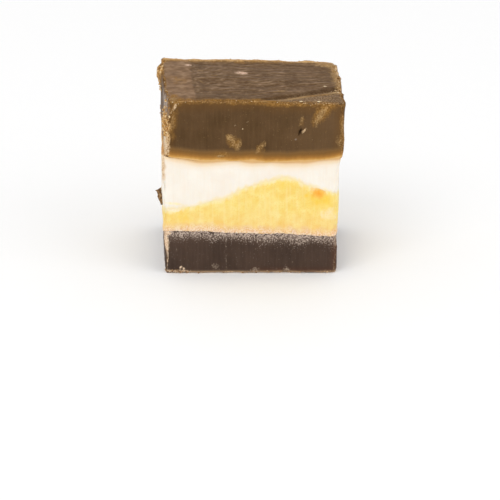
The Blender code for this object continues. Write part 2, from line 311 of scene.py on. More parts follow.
# Bits that stand out of the sides and pits that go in, in mm: place, reach and push
burrs = {
    "milk": (
        ((-20, 9.5, 38.9), (1.8, 2.0, 1.3), (-1.1, 0, 0.1)),
        ((-20, -12, 35), (1.5, 2.0, 1.8), (-0.5, 0, 0)),
        ((20, -15, 40), (1.2, 1.4, 0.8), (0.4, -0.2, 0)),
        ((10.2, -16.25, 33.5), (0.4, 1.5, 0.8), (0, 0.7, 0)),
    ),
    "white": (((-20, -14, 18.5), (1.4, 0.5, 1.0), (-0.5, 0, 0.3)),),
}


def pushed(square, features):
    # each feature pushes by a bell of the distance, measured in its own reaches
    moved = np.zeros_like(square)
    for place, reach, push in features:
        away = np.linalg.norm((square - np.array(place) * mm) / (np.array(reach) * mm), axis=-1)
        moved += np.array(push) * mm * bell(away, 1.0)[..., None]
    return moved


# Fine relief, in mm: sizes of its lumps and how high they stand
relief = {
    "drag": (0.4, 8.0, 0.022),  # streaks that the knife drew down the sides: spacing, length, height
    "lump": (2.2, 0.05),
    "grain": (0.6, 0.022),
    "rimGrain": (0.5, 0.13),
    "rimLump": (1.4, 0.16),
    "rimReach": 0.55,  # how far in from an edge the crumbling goes
    "wrinkle": 0.10,
    "topSunk": 0.06,  # how far the top lies below the solid's, so that its wrinkles don't stand above it
    "bubble": (0.42, 0.15, 0.09),  # small rings: radius, width, height
}
bubbles = ((-4.4, 35.0), (-2.7, 33.8), (-1.5, 35.7), (-1.3, 33.6), (13.4, 31.2), (-11.2, 30.6))

# The top, in mm: a smooth strip on the left, and wrinkles that fan out across the rest
topSkin = {
    "stripEnd": -13.4,
    "stripStep": 0.08,
    "spacing": 1.4,
    "length": 2.2,  # of a wrinkle beside the strip
    "growth": 19.0,  # the way to the right on which that length grows e times
    "level": 3,  # how far back the fan's middle line crosses the block's
    "rise": 0.09,  # how the wrinkles turn back on their way to the right
    "fan": 0.016,  # and how they close up there
    "narrowing": 1.7,
    "bends": ((21, 1.1, 12, 9), (26, 0.35, 4, 4)),  # their sway: seed, height, lengths across and back
}


def wrinkled(square):
    # ridged noise, 0 to 1, stretched along X, bent a little, rising to the right and closing up there
    x, y = square[..., 0] / mm, square[..., 1] / mm
    fromStrip, growth = x - topSkin["stripEnd"], topSkin["growth"]
    bend = sum(height * lumps(seed, x / wide, y / deep, 0.0) for seed, height, wide, deep in topSkin["bends"])
    side = y - topSkin["level"] - topSkin["rise"] * x + bend
    across = side * (1 + topSkin["fan"] * fromStrip) / topSkin["spacing"]
    run = growth / topSkin["length"] * (1 - np.exp(-fromStrip / growth))
    broad = 1 - np.abs(lumps(22, run, across, 0.0)) * topSkin["narrowing"]
    fine = 1 - np.abs(lumps(23, 2 * run, 2.1 * across, 0.0)) * topSkin["narrowing"]
    mask = eased(-0.6, 0.8, fromStrip) * (0.4 + 0.6 * eased(-15, -8, y))  # none on the strip, faint in front
    return np.clip(0.62 * broad + 0.38 * fine, 0, 1) * mask


def leftStrip(square):
    # 1 on the smooth strip along the top's left side, with a slightly wandering border
    x, y = square[..., 0] / mm, square[..., 1] / mm
    return 1 - eased(-0.35, 0.35, x - topSkin["stripEnd"] + 0.35 * lumps(24, 0.0, y / 1.7, 0.0))


def skinRelief(name, square, outward, fromEdge):
    # how far the skin stands out of the plain cut, in metres
    upward = np.clip(outward[..., 2], 0, 1)
    spacing, length, dragHeight = relief["drag"]
    drag = dragHeight * grains(11, square, spacing, spacing, length) * (1 - np.abs(outward[..., 2]))
    even = relief["lump"][1] * grains(12, square, relief["lump"][0])
    even += relief["grain"][1] * grains(13, square, relief["grain"][0])
    atRim = bell(fromEdge, relief["rimReach"] * mm)
    crumbly = relief["rimGrain"][1] * (grains(14, square, relief["rimGrain"][0]) - 0.5)
    crumbly += relief["rimLump"][1] * (grains(15, square, relief["rimLump"][0]) - 0.6)
    total = drag + even * (1 - 0.6 * upward) + crumbly * atRim
    if name == "milk":
        wrinkle = relief["wrinkle"] * (wrinkled(square) - 0.5) * (1 - leftStrip(square))
        total += upward * (wrinkle - relief["topSunk"])
        total += upward * topSkin["stripStep"] * (leftStrip(square) - 1)
        radius, width, height = relief["bubble"]
        onFront = bell(square[..., 1] + halfBlock[1], 0.3 * mm)
        for x, z in bubbles:
            away = np.hypot(square[..., 0] / mm - x, square[..., 2] / mm - z)
            total += height * bell(away - radius, width) * onFront
    return total * mm


def outlinePlaces(step):
    # the square block's outline, counterclockwise from its front left corner
    x = np.linspace(-halfBlock[0], halfBlock[0], round(block["width"] / step) + 1)
    y = np.linspace(-halfBlock[1], halfBlock[1], round(block["depth"] / step) + 1)
    front = np.stack([x[:-1], np.full(len(x) - 1, y[0])], -1)
    right = np.stack([np.full(len(y) - 1, x[-1]), y[:-1]], -1)
    back = np.stack([x[:0:-1], np.full(len(x) - 1, y[-1])], -1)
    left = np.stack([np.full(len(y) - 1, x[0]), y[:0:-1]], -1)
    return np.concatenate([front, right, back, left]), x, y


def ringQuads(first, second):
    # quads between two rings of point numbers, facing outwards where the second lies above the first
    return np.stack([first, np.roll(first, -1), np.roll(second, -1), second], -1)


# How each layer's skin is laid out; swell is how far its sides stand past the knife's cut, step the mesh's
layers = {
    "dark": {"foot": baseFace, "head": darkTop, "swell": -0.05 * mm, "step": 0.17 * mm},
    "yellow": {"foot": darkTop, "head": yellowTop, "swell": 0.1 * mm, "step": 0.17 * mm},
    "white": {"foot": yellowTop, "head": milkFoot, "swell": 0.0, "step": 0.17 * mm},
    "milk": {"foot": milkFoot, "head": topFace, "swell": 0.15 * mm, "step": 0.2 * mm},
}
nodeNames = {
    "dark": "dark_chocolate_layer",
    "yellow": "yellow_layer",
    "white": "white_layer",
    "milk": "milk_chocolate_layer",
}
hiddenRings = (0.97, 0.88, 0.7, 0.45, 0.2)  # shares of the outline at which a hidden face has points
dish = 0.1 * mm  # the hidden faces are dished by this, so that neighbours only touch along the rim
swellFade = 1.2 * mm  # the yellow layer's swell fades out over this below its head


def placePoints(name, x, y, share, dished=0.0):
    # moves points of the square block, given by x, y and share of the layer's height, to the fudge's skin.
    # A row of 12 for each: place, place on the square block, way out, distance from foot, head and edge
    layer = layers[name]
    low, high = layer["foot"](x, y), layer["head"](x, y)
    height = low + (high - low) * share + dished
    square = np.stack([x, y, height], -1)
    if name == "milk":
        square[..., 2] = np.minimum(height * block["height"] / high, block["height"])
    pulled, outward, fromEdge = roundedEdges(square)
    moved = pulled + knifeCut(square, height, name == "milk") + chipped(square)
    moved += pushed(square, burrs.get(name, ()))
    swell = layer["swell"] * (eased(0, swellFade, high - height) if name == "yellow" else 1.0)
    moved[..., 0] += swell * x / halfBlock[0]
    moved[..., 1] += swell * y / halfBlock[1]
    moved += outward * skinRelief(name, square, outward, fromEdge)[..., None]
    place = np.stack([x, y, height], -1) + moved
    place[..., :2] += np.array(block["centre"])
    distances = np.stack([height - low, high - height, fromEdge], -1)
    return np.concatenate([insideBox(place), square, outward, distances], -1)


def layerSkin(name):
    # the sides as rows of points round the block, closed by rings over a hidden face or a grid over the top
    step = layers[name]["step"]
    outline, xs, ys = outlinePlaces(step)
    across, count = len(xs) - 1, len(outline)
    middle = layers[name]["head"](np.zeros(1), np.zeros(1)) - layers[name]["foot"](np.zeros(1), np.zeros(1))
    rows = round(float(middle[0]) / step)
    share = np.linspace(0, 1, rows + 1)[:, None]
    walls = placePoints(name, *np.broadcast_arrays(outline[None, :, 0], outline[None, :, 1], share))
    skin = [walls.reshape(-1, 12)]
    grid = np.arange((rows + 1) * count).reshape(rows + 1, count)
    quads = [ringQuads(grid[:-1], grid[1:]).reshape(-1, 4)]
    triangles = []
    total = (rows + 1) * count
    faces = [(0.0, 1)] if name == "milk" else [(0.0, 1), (1.0, -1)]
    for end, inwards in faces:
        ring = grid[0] if end == 0.0 else grid[-1]
        for size in (*hiddenRings, 0.0):
            dished = 0.0 if name == "dark" and end == 0.0 else dish * inwards
            spots = outline * size if size else np.zeros((1, 2))
            skin.append(placePoints(name, spots[:, 0], spots[:, 1], np.full(len(spots), end), dished))
            inner = total + np.arange(len(spots))
            total += len(spots)
            if size:
                between = ringQuads(ring, inner)
                quads.append(between if end else between[:, ::-1])
                ring = inner
            else:
                fan = np.stack([ring, np.roll(ring, -1), np.full(count, inner[0])], -1)
                triangles.append(fan if end else fan[:, ::-1])
    if name == "milk":
        gx, gy = np.meshgrid(xs[1:-1], ys[1:-1])
        skin.append(placePoints(name, gx, gy, np.ones_like(gx)).reshape(-1, 12))
        number = np.empty((len(ys), len(xs)), int)
        top = grid[-1]
        number[0, :] = top[:across + 1]
        number[:, -1] = top[across:across + len(ys)]
        number[-1, ::-1] = top[across + len(ys) - 1:2 * across + len(ys)]
        number[::-1, 0] = np.roll(top, -(2 * across + len(ys) - 1))[:len(ys)]
        number[1:-1, 1:-1] = total + np.arange(gx.size).reshape(gx.shape)
        corners = [number[:-1, :-1], number[:-1, 1:], number[1:, 1:], number[1:, :-1]]
        quads.append(np.stack(corners, -1).reshape(-1, 4))
    seamRows = [grid[0]] if name == "milk" else [grid[0], grid[-1]]
    return np.concatenate(skin), np.concatenate(quads), triangles, np.concatenate(seamRows)


def addPiece(name, points, quads, triangles=(), sharpRow=None, readings=None):
    # a mesh object from arrays, shaded smooth, sharp along sharpRow, with named values for its material
    mesh = bpy.data.meshes.new(name)
    faces = quads.tolist() + [face for part in triangles for face in part.tolist()]
    mesh.from_pydata(points.tolist(), [], faces)
    mesh.validate()
    mesh.shade_smooth()
    if sharpRow is not None:
        onRow = np.zeros(len(points), bool)
        onRow[sharpRow] = True
        ends = np.empty(len(mesh.edges) * 2, np.int32)
        mesh.edges.foreach_get("vertices", ends)
        sharp = onRow[ends].reshape(-1, 2).all(axis=1)
        mesh.attributes.new("sharp_edge", "BOOLEAN", "EDGE").data.foreach_set("value", sharp)
    for key, values in (readings or {}).items():
        mesh.attributes.new(key, "FLOAT", "POINT").data.foreach_set("value", values.astype(np.float32))
    piece = bpy.data.objects.new(name, mesh)
    bpy.context.scene.collection.objects.link(piece)
    return piece


# Smears and spots, and painted sheen, glow and shade, by kind: the layer that they lie on, the size in mm of
# the grains that break them up, how sharp their borders are, how much the crystals speckle them, and their
# tints. Then, by face and in mm: place on it (across and up, on the top across and back), reach along and
# across the mark's own direction, its turn in degrees and its strength. Later kinds cover earlier ones
marks = {
    "goldSmears": {
        "layer": "milk", "grain": 1.0, "sharpness": 1.1, "speckle": 0.35,
        "tints": ((0.35, "#7a5528"), (0.65, "#9b733d")),
        "front": [(15.5, 38.4, 2.5, 1.1, 50, 1), (-4.6, 31.1, 1.7, 1.2, -60, 0.6),
            (1.8, 29.9, 1.6, 0.9, 52, 0.55), (10.4, 35.9, 1.2, 0.6, 65, 0.45),
            (-18.2, 36.2, 0.8, 3, 0, 0.75), (-7.4, 27.9, 1.6, 0.45, 0, 0.8), (19.6, 34, 0.6, 5, 0, 0.55),
            (6, 40, 13, 0.5, 0, 0.7)],
        "top": [(0, 14.6, 30, 1.7, 0, 0.75), (-4, -15.3, 14, 0.7, 0, 0.75), (-18.4, -13.6, 1, 2, 0, 0.85),
            (13, -10.5, 5, 0.6, 18, 0.5), (-17, -1.5, 2.2, 2.6, 0, 0.45)],
        "left": [(9.5, 38.9, 3.4, 2.2, 0, 1), (14.5, 34, 3, 5, 0, 0.9), (-12.5, 34.5, 2.4, 2.6, 0, 1)],
        "right": [(-9, 34, 3, 1.4, 40, 0.8), (9, 30, 4, 0.9, 5, 0.6)],
        "back": [(11, 33, 3.2, 1.3, -45, 0.8), (-8, 36.5, 2.6, 1.1, 55, 0.8)],
    },
    # gold along the rims: painted glow of light through the thin edges, partly the colour of real crumbs
    "goldRims": {
        "layer": "milk", "grain": 0.8, "sharpness": 1.4, "speckle": 0.7,
        "tints": ((0.35, "#a97a42"), (0.65, "#dab27a")),
        "top": [(0, 15.8, 30, 1.5, 0, 1), (0, -16.1, 22, 0.22, 0, 0.4), (19.5, 4, 0.8, 9, 0, 0.9),
            (18.4, 12.8, 2.2, 1.5, 0, 0.9)],
        "left": [(15.6, 34, 1.4, 6, 0, 0.95), (9.5, 38.9, 2.6, 1.6, 0, 0.95),
            (-13.4, 34.2, 1.8, 1.9, 0, 0.95), (-16, 31, 0.6, 4.5, 0, 0.9)],
        "front": [(16, 39, 1.2, 0.4, 50, 0.5)],
    },
    "tanSmears": {
        "layer": "milk", "grain": 0.7, "sharpness": 1.1, "speckle": 0.5,
        "tints": ((0.36, "#82623a"), (0.64, "#ab8a5c")),
        "front": [(-5.3, 31.9, 0.7, 0.5, -20, 0.95), (-4.1, 30.1, 1, 0.45, -60, 0.75),
            (-3.1, 30.6, 0.8, 0.35, 65, 0.6), (1.7, 29.8, 1.2, 0.4, 52, 0.8), (14.7, 37.6, 1.2, 0.5, 58, 1),
            (13.8, 35.8, 0.35, 1, -8, 0.6), (10.4, 36.1, 0.9, 0.35, 70, 0.7),
            (19.9, 35.2, 0.45, 1.3, 0, 0.85), (19, 31.5, 0.7, 1.2, 0, 0.55), (-18.5, 36, 0.4, 2, 0, 0.6),
            (-7.6, 27.6, 1, 0.3, 0, 0.6)],
        "top": [(19.2, 4, 1, 8.5, 0, 0.95), (18, 12.8, 1.8, 1.6, 0, 0.9), (-11.5, 6.6, 0.8, 0.3, -10, 0.7),
            (-8.6, 2.8, 0.7, 0.3, 0, 0.7), (-11.2, -1.8, 0.3, 0.9, 20, 0.6), (-18.8, -14.6, 0.9, 1, 0, 0.8),
            (6, -8.6, 1.4, 0.5, 20, 0.5)],
        "left": [(9.5, 38.9, 1.6, 1.1, 0, 0.8), (-13, 34.6, 1.8, 2.2, 0, 0.9),
            (12.5, 30.5, 1.8, 0.6, 35, 0.7)],
        "right": [(-9, 34, 2, 0.6, 40, 0.9), (3, 30.5, 1.1, 0.8, 0, 0.8), (8.5, 37, 1.6, 0.5, -30, 0.8)],
        "back": [(11, 33, 2, 0.6, -45, 0.9), (2.5, 30.5, 1, 0.7, 10, 0.8), (-8, 36.5, 1.6, 0.5, 55, 0.9),
            (-14, 31, 0.9, 0.7, 0, 0.7)],
    },
    "greySheen": {
        "layer": "milk", "grain": 1.6, "sharpness": 1.2, "speckle": 0.3,
        "tints": ((0.35, "#93806f"), (0.65, "#b3a294")),
        "left": [(-10.5, 38.4, 4.6, 1.8, 0, 0.85)],
        "front": [(9.35, 31.9, 0.28, 0.25, 0, 0.7)],
        "right": [(-2, 36, 3.5, 1, 15, 0.4)],
        "back": [(6, 38, 4, 0.9, -10, 0.4)],
    },
    "creamBits": {
        "layer": "milk", "grain": 0.5, "sharpness": 1.7, "speckle": 0.9,
        "tints": ((0.36, "#b9946a"), (0.64, "#e2c8a2")),
        "top": [(20, 5, 0.5, 7.5, 0, 0.85), (19.3, 13.4, 0.8, 0.9, 0, 0.6), (13.6, -16, 4.6, 0.22, 0, 0.6)],
        "front": [(11, 33.7, 0.62, 0.2, 62, 0.9), (-18.4, 38.7, 1.2, 0.22, 64, 0.7),
            (-4.3, 34.7, 0.14, 0.2, 0, 0.8), (-2.5, 33.9, 0.2, 0.14, 0, 0.8),
            (-1.6, 35.5, 0.2, 0.16, 0, 0.6)],
        "left": [(-13.4, 34.2, 1, 1.6, 0, 0.6), (-14.6, 30.2, 1.9, 2.8, 0, 1)],
        "back": [(11.3, 33.3, 0.8, 0.3, -45, 0.7)],
        "right": [(3.2, 30.6, 0.5, 0.3, 0, 0.7)],
    },
    "paleEdges": {
        "layer": "milk", "grain": 1.8, "sharpness": 1.1, "speckle": 0.15,
        "tints": ((0.3, "#dcc29d"), (0.7, "#efdec4")),
        "left": [(-11.5, 30.8, 3.6, 2, 0, 0.95)],
    },
    "pinkFlecks": {
        "layer": "milk", "grain": 0.45, "sharpness": 1.3, "speckle": 0.5,
        "tints": ((0.36, "#b7917a"), (0.64, "#e3c5aa")),
        "top": [(-2.1, 4.9, 1.1, 0.75, -24, 1), (-13.9, 10.4, 0.65, 0.6, 0, 0.95)],
    },
    # painted shade inside the pit
    "pitShade": {
        "layer": "milk", "grain": 0.6, "sharpness": 1.6, "speckle": 0.2,
        "tints": ((0.35, "#251808"), (0.65, "#2e1f10")),
        "front": [(10.2, 33.5, 0.75, 0.28, 64, 1)],
    },
    "yellowStreaks": {
        "layer": "white", "grain": 1.2, "sharpness": 1.0, "speckle": 0.3,
        "tints": ((0.35, "#fbe7ab"), (0.65, "#fdeec4")),
        "front": [(-17.6, 16.5, 1.9, 0.25, -4, 0.8)],
        "right": [(2, 22, 3, 0.9, -8, 0.7)],
        "back": [(12, 21, 3.2, 0.8, 6, 0.7)],
        "left": [(3, 19.6, 3.4, 0.8, -5, 0.7)],
    },
    "tanEdges": {
        "layer": "white", "grain": 0.6, "sharpness": 1.5, "speckle": 0.7,
        "tints": ((0.35, "#cba67c"), (0.65, "#eed4b0")),
        "left": [(14.5, 22.5, 1.6, 5, 0, 0.9), (-15.8, 24.6, 0.7, 2.6, 0, 0.8),
            (-13.6, 18.6, 0.9, 1.3, 0, 0.8), (-4, 26, 3.5, 0.5, 4, 0.6)],
        "front": [(-19.8, 25.6, 0.2, 1.2, 0, 0.6)],
        "right": [(7, 25.2, 2.6, 0.4, -5, 0.5)],
        "back": [(-6, 25.5, 2.8, 0.4, 3, 0.5)],
    },
    "goldPatches": {
        "layer": "yellow", "grain": 1.4, "sharpness": 0.9, "speckle": 0.6,
        "tints": ((0.35, "#f4c840"), (0.65, "#f8d45e")),
        "front": [(15.9, 17, 2.4, 1.6, 0, 0.85), (7, 20.8, 3, 0.9, 5, 0.5), (12.7, 18.4, 0.4, 0.4, 0, 0.9),
            (-15.5, 13, 3, 1.3, 0, 0.3)],
        "right": [(-6, 15.5, 4.5, 2.2, 10, 0.7), (9, 13, 3, 1.2, -8, 0.6)],
        "back": [(-3, 14, 4, 1.6, 5, 0.6)],
        "left": [(5, 13, 4, 1.4, 0, 0.6)],
    },
    "orangeSpots": {
        "layer": "yellow", "grain": 1.0, "sharpness": 0.9, "speckle": 0.5,
        "tints": ((0.35, "#f6a32c"), (0.65, "#fab648")),
        "front": [(15.2, 18.9, 1.25, 0.95, -10, 1)],
        "right": [(11, 17, 0.8, 0.6, 10, 0.8)],
        "back": [(-12, 16, 0.9, 0.6, -8, 0.8)],
    },
    "whitePatches": {
        "layer": "yellow", "grain": 1.5, "sharpness": 0.8, "speckle": 0.3,
        "tints": ((0.35, "#f8e9c4"), (0.65, "#fbf1de")),
        "front": [(18.6, 14.2, 2.2, 1.2, 0, 0.5), (-18, 15.2, 1.4, 0.45, 0, 0.9)],
        "right": [(2.5, 12.6, 3.2, 1.3, -14, 0.9), (-2.5, 14, 1.8, 0.7, 30, 0.8)],
        "back": [(8, 14.2, 2.8, 0.9, 18, 0.85)],
        "left": [(-6, 13.4, 2.4, 0.7, -12, 0.8)],
    },
    "brownEdges": {
        "layer": "yellow", "grain": 0.8, "sharpness": 1.5, "speckle": 0.5,
        "tints": ((0.35, "#a8804c"), (0.65, "#d3a96c")),
        "left": [(14.6, 12.6, 1.6, 1.1, 0, 0.9)],
    },
    "dustSmears": {
        "layer": "dark", "grain": 0.8, "sharpness": 1.2, "speckle": 0.8,
        "tints": ((0.36, "#6e5d50"), (0.64, "#a3907c")),
        "front": [(-5.7, 6, 0.09, 3.8, 0, 0.55), (-8.2, 1.5, 0.8, 0.7, 0, 0.5),
            (1.2, 0.9, 1.2, 0.5, 10, 0.6), (8.3, 0.7, 0.8, 0.5, 0, 0.6), (-17.15, 5.4, 0.16, 0.5, 0, 0.6)],
        "right": [(4, 4.5, 2.2, 0.5, 60, 0.6)],
        "back": [(-3, 4, 2.4, 0.5, -50, 0.6)],
        "left": [(4, 5, 2, 0.6, -60, 0.6)],
    },
    "creamEdges": {
        "layer": "dark", "grain": 0.7, "sharpness": 1.3, "speckle": 0.4,
        "tints": ((0.35, "#cba682"), (0.65, "#f2dabd")),
        "front": [(-19.5, 7.4, 0.22, 2.2, 0, 1), (-19.5, 4.4, 0.12, 2.2, 0, 0.95),
            (-19.1, 9.6, 0.5, 0.4, 0, 0.9), (-18, 0.35, 2.8, 0.36, 0, 0.95),
            (-16.3, 1.5, 0.28, 0.2, 35, 0.75), (-15.6, 1.2, 0.22, 0.16, 0, 0.7)],
        "left": [(-16.1, 7.2, 0.25, 2.6, 0, 0.9)],
        "back": [(18, 5, 0.4, 2.4, 0, 0.8)],
    },
    # painted shade of short slits at the dark layer's top seam
    "slitShade": {
        "layer": "dark", "grain": 0.6, "sharpness": 1.2, "speckle": 0.2,
        "tints": ((0.35, "#160f0a"), (0.65, "#21170f")),
        "front": [(-16.7, 9.75, 0.8, 0.1, 0, 1)],
        "right": [(5, 8.8, 0.9, 0.1, 0, 1)],
    },
}
# For each face: the axes of a place on it, the axis out of it and its level there
faceAxes = {
    "front": (0, 2, 1, -halfBlock[1]),
    "back": (0, 2, 1, halfBlock[1]),
    "left": (1, 2, 0, -halfBlock[0]),
    "right": (1, 2, 0, halfBlock[0]),
    "top": (0, 1, 2, block["height"]),
}
markDepth = 0.8 * mm  # marks fade over this with the distance from their face


def markMask(square, mark):
    # 0 to 1: a bell of the distance in each place's own turned axes, only near the face that it lies on
    clear = np.ones(square.shape[:-1])
    for face, (uAxis, vAxis, outAxis, level) in faceAxes.items():
        onFace = bell(square[..., outAxis] - level, markDepth)
        for u, v, along, across, turn, strength in mark.get(face, ()):
            du, dv = square[..., uAxis] / mm - u, square[..., vAxis] / mm - v
            cosTurn, sinTurn = math.cos(math.radians(turn)), math.sin(math.radians(turn))
            away = np.hypot((du * cosTurn + dv * sinTurn) / along, (dv * cosTurn - du * sinTurn) / across)
            clear *= 1 - strength * bell(away, 1.0) * onFace
    return 1 - clear


def broken(mask, square, seed, size, sharpness):
    # breaks a soft mask up into grains of about the given size in mm
    noise = 0.6 * grains(seed, square, size, size, size * 1.6)
    noise += 0.4 * grains(seed + 100, square, size * 0.4, size * 0.4, size * 0.8)
    return np.clip(0.5 + sharpness * (mask - 0.5 + 0.45 * noise), 0, 1) * eased(0.02, 0.3, mask)


def faded(distance, reach):
    # 1 at a border, 0 at the given reach from it
    return np.clip(1 - distance / reach, 0, 1)


def skinReadings(name, skin):
    # the values that each layer's material reads, 0 to 1 at every point
    square, outward = skin[:, 3:6], skin[:, 6:9]
    aboveFoot, belowHead, fromEdge = skin[:, 9:].T / mm
    drift = grains(31, square, 4.0)
    fine = grains(32, square, 0.5)
    streak = grains(33, square, 0.45, 0.45, 5.0)
    rim = bell(fromEdge, 0.37 + 0.3 * eased(17, 20, square[:, 0] / mm))
    readings = {}
    for number, (kind, mark) in enumerate(marks.items()):
        if mark["layer"] == name:
            mask = markMask(square, mark)
            readings[kind] = broken(mask, square, 80 + number, mark["grain"], mark["sharpness"])
    if name == "milk":
        upward = eased(0.35, 0.8, outward[:, 2])
        behind, along = besideCrease(square[:, 0], square[:, 1])
        behind = behind / mm
        # the width of the painted shade along the crease: wider behind it and towards its right end
        shadow = np.where(behind > -0.2, 0.28 + 0.9 * eased(0.4, 1.0, along), 0.25)
        # a light line along the lip in front of the crease, painted as its highlight
        lip = bell(behind + 1.35, 0.5) * eased(0.0, 0.1, along) * upward
        readings |= {
            "upward": upward,
            "footGlow": faded(aboveFoot - 0.22 + 0.25 * drift + 0.1 * fine + 0.05 * streak, 2.9),
            "headGlow": faded(fromEdge + 0.4 * drift + 0.15 * streak, 3.0) * (1 - upward),
            "rim": broken(0.85 * rim * (0.75 + 0.25 * drift), square, 34, 0.55, 1.9),
            "strip": leftStrip(square) * upward,
            "wrinkle": wrinkled(square) * upward,
            # painted shade along the crease
            "crease": bell(behind + 0.2, shadow) * eased(-0.1, 0.05, along) * upward,
            "lip": lip * (0.75 + 0.5 * grains(48, square, 1.2)),
            "apron": upward * (1 - eased(-0.5, 0.2, behind)) * eased(0.1, 0.4, along),
        }
    elif name == "white":
        readings |= {
            "toMilk": faded(belowHead + 0.4 * drift, 2.4),
            "toYellow": faded(aboveFoot + 0.4 * grains(37, square, 1.3) + 0.25 * streak, 0.8),
            "rim": broken(0.5 * rim * eased(0.0, 0.9, drift), square, 39, 0.6, 1.5),
        }
    elif name == "yellow":
        readings |= {
            "toWhite": faded(belowHead + 0.4 * grains(37, square, 1.3) + 0.35 * streak, 1.0),
            "toDark": faded(aboveFoot + 0.6 * grains(40, square, 1.1) + 0.2 * streak, 2.1),
        }
    else:
        readings |= {
            "haze": faded(belowHead + 0.35 * streak, 3.6 + grains(43, square, 5.0)),
            "rim": broken(0.7 * rim * (0.8 + 0.3 * drift), square, 44, 0.5, 1.9),
            "baseRim": bell(np.maximum(aboveFoot - 0.1, 0), 0.28) * eased(-1, 0, grains(45, square, 1.6)),
            "rightGlow": bell(fromEdge, 0.8) * (square[:, 0] > 0),
        }
    return readings


def linearColour(hexValue):
    # sRGB hex to linear
    parts = [int(hexValue[k:k + 2], 16) / 255 for k in (1, 3, 5)]
    return [part / 12.92 if part <= 0.04045 else ((part + 0.055) / 1.055) ** 2.4 for part in parts] + [1.0]


def addNode(tree, kind, links=None, out=None, stops=None, **settings):
    # adds a node with its settings, its links and the stops of a ramp, and gives one of its outputs; links
    # maps inputs to sockets, hex colours or values
    node = tree.nodes.new("ShaderNode" + kind)
    for key, value in settings.items():
        setattr(node, key, value)
    for key, value in (links or {}).items():
        named = [socket for socket in node.inputs if socket.name == key and socket.enabled]
        socket = node.inputs[key] if isinstance(key, int) else named[0]
        if isinstance(value, bpy.types.NodeSocket):
            tree.links.new(value, socket)
        else:
            socket.default_value = linearColour(value) if isinstance(value, str) else value
    if stops:
        elements = node.color_ramp.elements
        elements[0].position, elements[1].position = stops[0][0], stops[-1][0]
        elements[0].color, elements[1].color = linearColour(stops[0][1]), linearColour(stops[-1][1])
        for position, hexValue in stops[1:-1]:
            elements.new(position).color = linearColour(hexValue)
    return node.outputs[out] if out else next(socket for socket in node.outputs if socket.enabled)


def newMaterial(name, roughness, gloss, subsurface=0.0, glowRadius=(1.0, 0.6, 0.35)):
    # a Principled material with its constants set, and its tree, its shader and a place for its values
    material = bpy.data.materials.new(name)
    material.use_nodes = True
    shader = material.node_tree.nodes["Principled BSDF"]
    shader.inputs["Roughness"].default_value = roughness
    shader.inputs["IOR"].default_value = 1.45
    shader.inputs["Subsurface Weight"].default_value = subsurface
    shader.inputs["Subsurface Radius"].default_value = glowRadius
    shader.inputs["Subsurface Scale"].default_value = 0.5 * mm
    shader.inputs["Specular IOR Level"].default_value = gloss
    return material, material.node_tree, shader, {}


# The materials' own patterns, each a noise: sizes of its lumps along X, Y and Z in mm, detail, and roughness
patterns = {
    "cloud": ((5.0, 5.0, 5.0), 2.0, 0.5),  # slow changes of colour, as the sugar set
    "mottle": ((1.6, 1.6, 1.6), 3.0, 0.5),
    "curd": ((1.3, 1.0, math.inf), 3.0, 0.7),  # short light and dark marks in the top
    "crystal": ((0.3, 0.3, 0.3), 1.0, 0.5),  # sugar grains, drawn coarser than real ones so that they show
    "hole": ((0.5, 0.5, 0.25), 1.0, 0.5),  # gaps in the dust, flat and slanted
    "drag": ((0.45, 0.45, 7.0), 2.0, 0.5),  # knife streaks
    "crumb": ((0.7, 0.7, 0.7), 1.0, 0.5),  # from crumb to crumb
    "grit": ((0.12, 0.12, 0.12), 1.0, 0.5),
}


def getValue(tree, values, key):
    # a value by name, made when first asked for: a coordinate, a pattern or what the points say
    if key not in values:
        if key == "place":
            values[key] = addNode(tree, "TexCoord", out="Object")
        elif key in ("X", "Y", "Z"):
            values[key] = addNode(tree, "SeparateXYZ", {0: getValue(tree, values, "place")}, out=key)
        elif key in patterns:
            sizes, detail, roughness = patterns[key]
            scale = [1 / (size * mm) for size in sizes]
            turn = (0.0, 0.5, 0.0) if key == "hole" else (0.0, 0.0, 0.0)
            spread = addNode(tree, "Mapping", {
                "Vector": getValue(tree, values, "place"), "Scale": scale, "Rotation": turn})
            values[key] = addNode(tree, "TexNoise", {
                "Vector": spread, "Scale": 1.0, "Detail": detail, "Roughness": roughness})
        else:
            values[key] = addNode(tree, "Attribute", out="Fac", attribute_name=key)
    return values[key]


def addCoats(tree, values, colour, coats):
    # lays tints over a colour in turn: each where a value rises from low to high, by at most a share.
    # A colour or tint is a hex, a socket, or a value's name followed by the stops of its ramp
    def tinted(tint):
        if isinstance(tint, tuple):
            return addNode(tree, "ValToRGB", {0: getValue(tree, values, tint[0])}, stops=tint[1:])
        return tint

    colour = tinted(colour)
    for key, low, high, most, tint in coats:
        share = addNode(tree, "MapRange", {
            "Value": getValue(tree, values, key), "From Min": low, "From Max": high, "To Max": most})
        colour = addNode(tree, "Mix", {"Factor": share, "A": colour, "B": tinted(tint)}, data_type="RGBA")
    return colour


def finishSurface(tree, values, shader, colour, rough, bump, layer=None):
    # paints the layer's marks over the colour, each with a border that the crystals break up, and links the
    # colour, a roughness and a bump; rough is (value, least, most) and bump (value, depth in mm)
    for kind, mark in marks.items():
        if mark["layer"] == layer:
            speckle = mark["speckle"]
            links = {0: getValue(tree, values, "crystal"), 1: speckle, 2: getValue(tree, values, kind)}
            values[kind] = addNode(tree, "Math", links, operation="MULTIPLY_ADD")
            coat = (kind, 0.2 + speckle / 2, 0.9 + speckle / 2, 1, ("crystal", *mark["tints"]))
            colour = addCoats(tree, values, colour, (coat,))
    tree.links.new(colour, shader.inputs["Base Color"])
    roughness = addNode(tree, "MapRange", {
        "Value": getValue(tree, values, rough[0]), "To Min": rough[1], "To Max": rough[2]})
    tree.links.new(roughness, shader.inputs["Roughness"])
    height = getValue(tree, values, bump[0])
    normal = addNode(tree, "Bump", {"Height": height, "Distance": bump[1] * mm, "Strength": 1.0})
    tree.links.new(normal, shader.inputs["Normal"])


